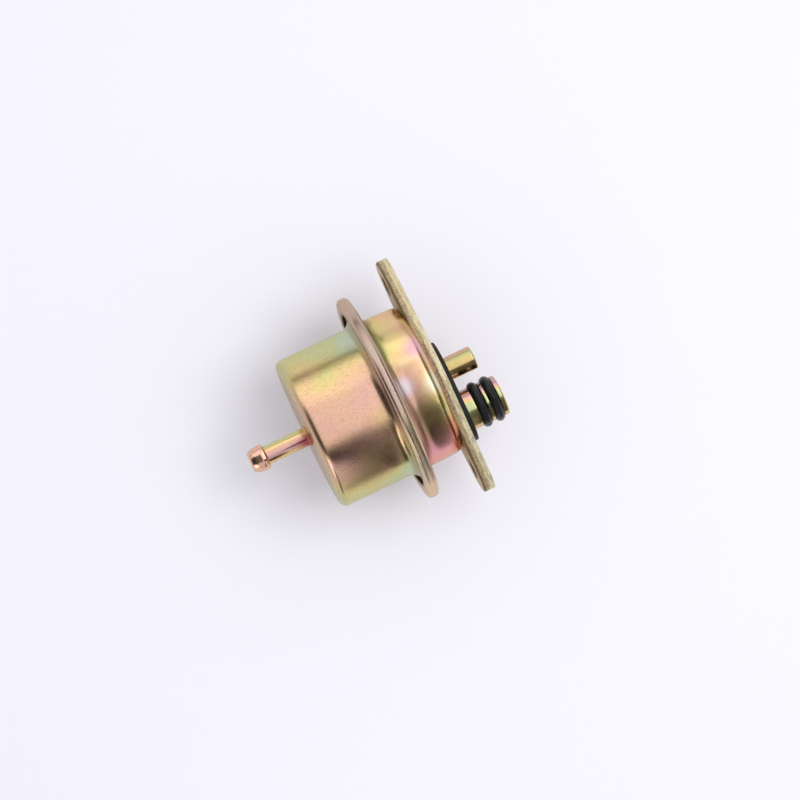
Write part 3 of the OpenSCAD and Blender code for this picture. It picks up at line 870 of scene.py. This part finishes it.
def roundCutter(x, radius, low, high, sides=96):
    mesh = bpy.data.meshes.new("cutter")
    work = bmesh.new()
    middle = Matrix.Translation((x * mm, 0, (low + high) / 2 * mm))
    bmesh.ops.create_cone(work, cap_ends=True, segments=sides, radius1=radius * mm, radius2=radius * mm,
                          depth=(high - low) * mm, matrix=middle)
    work.to_mesh(mesh)
    work.free()
    cutter = bpy.data.objects.new("cutter", mesh)
    scene.collection.objects.link(cutter)
    return cutter


inletCutter = roundCutter(*fuelCan["inletHole"])
turnPiece(fuelCan, (inletCutter,))
bpy.data.objects.remove(inletCutter)
for settings in (springCan, nipple, returnTube, inletStub, innerRing, outerRing):
    turnPiece(settings)
print("turned pieces made")


# flat pieces: an outline and its holes, each with its own edge from the lower face to the upper
def circleLoop(x, radius, sides):
    loop = []
    for side in range(sides):
        angle = math.tau * side / sides
        way = Vector((math.cos(angle), math.sin(angle)))
        loop.append((Vector((x, 0.0)) + way * radius, way))
    return loop


def arcRun(x, radius, start, end, sides):
    run = []
    for side in range(sides + 1):
        angle = math.radians(start + (end - start) * side / sides)
        way = Vector((math.cos(angle), math.sin(angle)))
        run.append((Vector((x, 0.0)) + way * radius, -way))
    return run


def joinRuns(runs, stride):
    loop = []
    for place, run in enumerate(runs):
        loop += run
        start, end = run[-1], runs[(place + 1) % len(runs)][0]
        pieces = max(1, math.ceil((end[0] - start[0]).length / stride))
        for k in range(1, pieces):
            part = k / pieces
            loop.append((start[0].lerp(end[0], part), start[1].lerp(end[1], part).normalized()))
    return loop


def flatPiece(settings, loops):
    work = bmesh.new()
    lowEdges, highEdges = [], []
    for loop, edge, rough in loops:
        rings = []
        for inset, height, tear in edge:
            ring = []
            for point, way in loop:
                bite = 0.0
                if tear:
                    bite = tear * (0.5 + 0.5 * noise.noise(Vector((point.x, point.y, height)) * rough))
                spot = point + way * (inset + bite)
                ring.append(work.verts.new((spot.x * mm, spot.y * mm, height * mm)))
            rings.append(ring)
        count = len(loop)
        for lower, upper in zip(rings, rings[1:]):
            for k in range(count):
                work.faces.new((lower[k], lower[(k + 1) % count], upper[(k + 1) % count], upper[k]))
        lowEdges += [work.edges.get((rings[0][k], rings[0][(k + 1) % count])) for k in range(count)]
        highEdges += [work.edges.get((rings[-1][k], rings[-1][(k + 1) % count])) for k in range(count)]
    for edges in (lowEdges, highEdges):
        bmesh.ops.triangle_fill(work, use_beauty=True, use_dissolve=False, edges=edges)
    mesh = bpy.data.meshes.new(settings["name"])
    work.to_mesh(mesh)
    work.free()
    mesh.materials.append(finishes[settings["finish"]])
    cleanMesh(mesh, 40.0)
    linkPiece(settings, mesh)


plate = {
    "name": "screw_plate",
    "node": "mounting_plate",
    "slot": "plate_zinc",
    "finish": "plate",
    "thick": 3.2,
    "halfWidth": 14.0,
    "endRadius": 6.99,
    "spacing": 53.4,
    "screwHole": 2.75,
    "ports": ((0.0, 2.85), (-12.1, 4.25)),
    "outerEdge": (0.85, 0.6, 0.07),  # depth and width of the die roll, depth of the torn zone
    "boreEdge": (0.5, 0.3, 0.03),
    "outerGrain": 2.2,
    "boreGrain": 3.0,
    "endSides": 60,
    "middleSides": 30,
    "holeSides": 64,
    "stride": 0.5,
}


def plateOutline(plate):
    far = plate["spacing"] / 2
    flank = math.degrees(math.acos((plate["halfWidth"] - plate["endRadius"]) / far))
    runs = [
        arcRun(far, plate["endRadius"], -flank, flank, plate["endSides"]),
        arcRun(0.0, plate["halfWidth"], flank, 180 - flank, plate["middleSides"]),
        arcRun(-far, plate["endRadius"], 180 - flank, 180 + flank, plate["endSides"]),
        arcRun(0.0, plate["halfWidth"], 180 + flank, 360 - flank, plate["middleSides"]),
    ]
    return joinRuns(runs, plate["stride"])


# rows of inset, height and torn depth
def punchedEdge(thick, depth, width, tear, breakEdge=0.1, land=1.35, slack=0.02):
    rows = [(breakEdge, 0.0, 0.0), (breakEdge * 0.3, breakEdge * 0.3, 0.0), (0.0, breakEdge, 0.0)]
    torn = thick - depth
    rows += [(0.0, breakEdge + (land - breakEdge) * k / 4, 0.0) for k in range(1, 5)]
    rows += [(slack, land + (torn - land) * k / 5, tear) for k in range(1, 5)]
    for k in range(0, 9):
        lift = math.radians(90 * k / 8)
        bite = tear * 0.3 if k == 0 else 0.0
        rows.append((width * (1 - math.cos(lift)), torn + depth * math.sin(lift), bite))
    return rows


def makePlate(plate):
    far, sides = plate["spacing"] / 2, plate["holeSides"]
    outer = punchedEdge(plate["thick"], *plate["outerEdge"])
    bore = punchedEdge(plate["thick"], *plate["boreEdge"])
    straight = [(0.0, 0.0, 0.0), (0.0, plate["thick"], 0.0)]
    loops = [(plateOutline(plate), outer, plate["outerGrain"])]
    loops += [(circleLoop(x, plate["screwHole"], sides), bore, plate["boreGrain"]) for x in (-far, far)]
    loops += [(circleLoop(x, radius, sides), straight, 1.0) for x, radius in plate["ports"]]
    flatPiece(plate, loops)


gasket = {
    "name": "port_seal",
    "node": "port_gasket",
    "slot": "seal_rubber",
    "finish": "gasket",
    "thick": 1.6,
    "radius": 8.2,
    "inlet": -12.1,
    "holes": ((0.0, 4.125), (-12.1, 5.85)),
    "edgeRound": 0.2,
    "holeRound": 0.15,
    "endSides": 60,
    "holeSides": 72,
    "stride": 0.6,
}


def softEdge(low, high, radius, steps):
    lifts = [math.radians(90 * k / steps) for k in range(steps + 1)]
    rows = [(radius * (1 - math.sin(lift)), low + radius * (1 - math.cos(lift)), 0.0) for lift in lifts]
    rows += [(radius * (1 - math.cos(lift)), high - radius * (1 - math.sin(lift)), 0.0) for lift in lifts]
    return rows


def makeGasket(gasket):
    runs = [
        arcRun(0.0, gasket["radius"], -90, 90, gasket["endSides"]),
        arcRun(gasket["inlet"], gasket["radius"], 90, 270, gasket["endSides"]),
    ]
    edge = softEdge(-gasket["thick"], 0.0, gasket["edgeRound"], 6)
    lip = softEdge(-gasket["thick"], 0.0, gasket["holeRound"], 3)
    loops = [(joinRuns(runs, gasket["stride"]), edge, 1.0)]
    loops += [(circleLoop(x, radius, gasket["holeSides"]), lip, 1.0) for x, radius in gasket["holes"]]
    flatPiece(gasket, loops)


makePlate(plate)
makeGasket(gasket)
print("flat pieces made")

# inner pieces keep their solids and get their finish
innerFinish = {
    "valve_seat": "brass",
    "diaphragm": "diaphragm",
    "spring_plate": "steel",
    "diaphragm_washer": "steel",
    "valve_holder": "steel",
    "valve_ball": "ball",
    "ball_retainer": "steel",
    "ball_spring": "spring",
    "main_spring": "spring",
    "spring_seat": "steel",
}
for name, finish in innerFinish.items():
    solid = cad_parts[name]
    solid.data.materials.clear()
    solid.data.materials.append(finishes[finish])
print("inner pieces finished")

# studio: a pale sheet close behind the part, an even sky, soft lamps, and cards for the reflections
studio = {
    "sheetY": 0.0305,
    "sheetSize": 4.0,
    "sheetColour": (0.885, 0.880, 0.955),
    "skyStrength": 0.80,
    "seenStrength": 0.80,
    "skyColour": (0.98, 0.98, 1.0),
    "aim": (0.0, 0.0, 0.022),
}


def stageSheet(studio):
    half = studio["sheetSize"] / 2
    mesh = bpy.data.meshes.new("backSheet")
    y = studio["sheetY"]
    corners = [(-half, y, -half), (half, y, -half), (half, y, half), (-half, y, half)]
    mesh.from_pydata(corners, [], [(0, 1, 2, 3)])
    material, tree, shader, coord, _ = startMaterial("paleSheet")
    mottle = span(tree, noiseValue(tree, coord, 3.0, 2.0), 0.2, 0.8)
    shaded = tuple(v * 0.985 for v in studio["sheetColour"])
    tree.links.new(blendColour(tree, mottle, studio["sheetColour"], shaded), shader.inputs["Base Color"])
    feed(tree, shader, Roughness=0.9, Specular_IOR_Level=0.0)
    clear = addNode(tree, "ShaderNodeBsdfTransparent")  # views from behind look through the sheet
    facing = addNode(tree, "ShaderNodeNewGeometry")
    pick = addNode(tree, "ShaderNodeMixShader")
    tree.links.new(facing.outputs["Backfacing"], pick.inputs[0])
    tree.links.new(shader.outputs[0], pick.inputs[1])
    tree.links.new(clear.outputs[0], pick.inputs[2])
    tree.links.new(pick.outputs[0], tree.nodes["Material Output"].inputs["Surface"])
    mesh.materials.append(material)
    sheetObject = bpy.data.objects.new("backSheet", mesh)
    scene.collection.objects.link(sheetObject)


# lamps either show in gloss or light the colour of things and throw the shadow
lamps = {
    "softBox": {
        "place": (0.61, -0.44, 0.03),
        "size": (0.55, 1.0),
        "power": 0.92,
        "colour": (1.0, 0.97, 0.92),
        "gloss": True,
    },
    "lowPanel": {
        "place": (0.0, -0.60, -0.14),
        "size": (1.0, 0.10),
        "power": 0.40,
        "colour": (1.0, 0.97, 0.93),
        "gloss": True,
    },
    "frontPanel": {
        "place": (0.03, -1.75, 0.02),
        "size": (1.8, 1.5),
        "power": 2.2,
        "colour": (1.0, 0.99, 0.97),
        "gloss": True,
    },
    "shadowKey": {
        "place": (-0.025, -0.60, -0.17),
        "size": (0.32, 0.32),
        "power": 1.5,
        "colour": (1.0, 0.98, 0.96),
        "gloss": False,
    },
    "glint": {
        "place": (-0.50, -0.24, 0.38),
        "size": (0.36, 0.36),
        "power": 0.50,
        "colour": (1.0, 0.93, 0.90),
        "gloss": True,
    },
}


def areaLamp(name, settings):
    data = bpy.data.lights.new(name, "AREA")
    data.shape = "RECTANGLE"
    data.size, data.size_y = settings["size"]
    data.energy, data.color = settings["power"], settings["colour"]
    lamp = bpy.data.objects.new(name, data)
    place, aim = Vector(settings["place"]), Vector(studio["aim"])
    lamp.location = place
    lamp.rotation_euler = (aim - place).to_track_quat("-Z", "Y").to_euler()
    lamp.visible_glossy = settings["gloss"]
    if settings["gloss"]:
        lamp.visible_diffuse = False
        lamp.visible_camera = False
    scene.collection.objects.link(lamp)


# cards that only reflections see; an outline's rows are a swing from -Y towards -X in degrees and
# two heights in millimetres, and between the two swings of its fade a card turns from pale to its tone
def darkCard(card):
    rows = []
    for swing, low, high in card["outline"]:
        angle = math.radians(swing)
        foot = Vector((-math.sin(angle), -math.cos(angle), 0.0)) * card["distance"]
        rows.append([foot + Vector((0.0, 0.0, height * mm)) for height in (low, high)])
    mesh = bpy.data.meshes.new(card["name"])
    faces = [(2 * k, 2 * k + 2, 2 * k + 3, 2 * k + 1) for k in range(len(rows) - 1)]
    mesh.from_pydata([point for row in rows for point in row], [], faces)
    material, tree, shader, coord, parts = startMaterial(card["name"])
    swing = calc(tree, "ARCTAN2", times(tree, parts["X"], -1.0), times(tree, parts["Y"], -1.0))
    deeper = tuple(v * 0.8 for v in card["tone"])
    shade = blendColour(tree, noiseValue(tree, coord, 6.0), card["tone"], deeper)
    fade = span(tree, swing, *(math.radians(v) for v in card["fade"]))
    tree.links.new(blendColour(tree, fade, (0.85, 0.84, 0.82), shade), shader.inputs["Base Color"])
    feed(tree, shader, Roughness=1.0, Specular_IOR_Level=0.0)
    mesh.materials.append(material)
    screen = bpy.data.objects.new(card["name"], mesh)
    scene.collection.objects.link(screen)
    screen.visible_camera = False
    screen.visible_diffuse = False
    screen.visible_shadow = False


wallCard = {
    "name": "wallCard", "distance": 0.06, "tone": (0.036, 0.031, 0.029), "fade": (20, 31),
    "outline": ((20, 16, 44), (38, 16, 44), (47, 16, 33), (60, 16, 30), (77, 16, 30.5), (94, 16, 36)),
}
seamCard = {
    "name": "seamCard", "distance": 0.06, "tone": (0.40, 0.37, 0.30), "fade": (-90, -80),
    "outline": ((-77, 10, 42), (-70, 10, 42)),
}
kiteCard = {
    "name": "kiteCard", "distance": 0.06, "tone": (0.026, 0.022, 0.019), "fade": (-44, 60),
    "outline": (
        (-29, 0.2, 3.2), (-12, -0.8, 4.8), (0, -1.2, 5.6),
        (14, -1.4, 7.4), (24, -1.6, 10.6), (32, -2.2, 13.0),
        (40, -2.2, 12.4), (48, -2.0, 11.4), (58, -1.8, 11.2),
        (74, -1.2, 10.0), (90, -0.2, 6.6), (102, 1.0, 3.2),
    ),
}
portCard = {
    "name": "portCard", "distance": 0.06, "tone": (0.15, 0.13, 0.12), "fade": (18, 30),
    "outline": ((20, -26, -4.2), (60, -26, -4.2), (104, -26, -4.2)),
}
nippleCard = {
    "name": "nippleCard", "distance": 0.06, "tone": (0.07, 0.06, 0.05), "fade": (50, 64),
    "outline": ((50, 45, 58), (74, 44, 58), (98, 45, 58)),
}
floorCard = {
    "name": "floorCard", "distance": 0.3, "tone": (0.20, 0.18, 0.14), "fade": (-80, -60),
    "outline": ((-55, -420, -190), (-30, -520, -150), (0, -560, -140), (30, -520, -150), (60, -420, -190)),
}
lensCard = {
    "name": "lensCard", "distance": 0.6, "tone": (0.10, 0.09, 0.085), "fade": (-60, -50),
    "outline": ((-42, 260, 700), (-32, 150, 1200), (0, 120, 1400), (30, 130, 1200), (45, 220, 800)),
}


def paleWorld(studio):
    world = bpy.data.worlds.new("softSky")
    scene.world = world
    world.use_nodes = True
    tree = world.node_tree
    sky = tree.nodes["Background"]
    path = addNode(tree, "ShaderNodeLightPath")
    seen = calc(tree, "MAXIMUM", path.outputs["Is Camera Ray"],
                calc(tree, "MAXIMUM", path.outputs["Is Glossy Ray"], path.outputs["Is Transmission Ray"]))
    level = addNode(tree, "ShaderNodeMapRange")
    feed(tree, level, Value=seen, To_Min=studio["skyStrength"], To_Max=studio["seenStrength"])
    sky.inputs["Color"].default_value = (*studio["skyColour"], 1.0)
    tree.links.new(level.outputs["Result"], sky.inputs["Strength"])


paleWorld(studio)
stageSheet(studio)
for card in (wallCard, seamCard, kiteCard, portCard, nippleCard, floorCard, lensCard):
    darkCard(card)
for name, settings in lamps.items():
    areaLamp(name, settings)
print("studio lit")
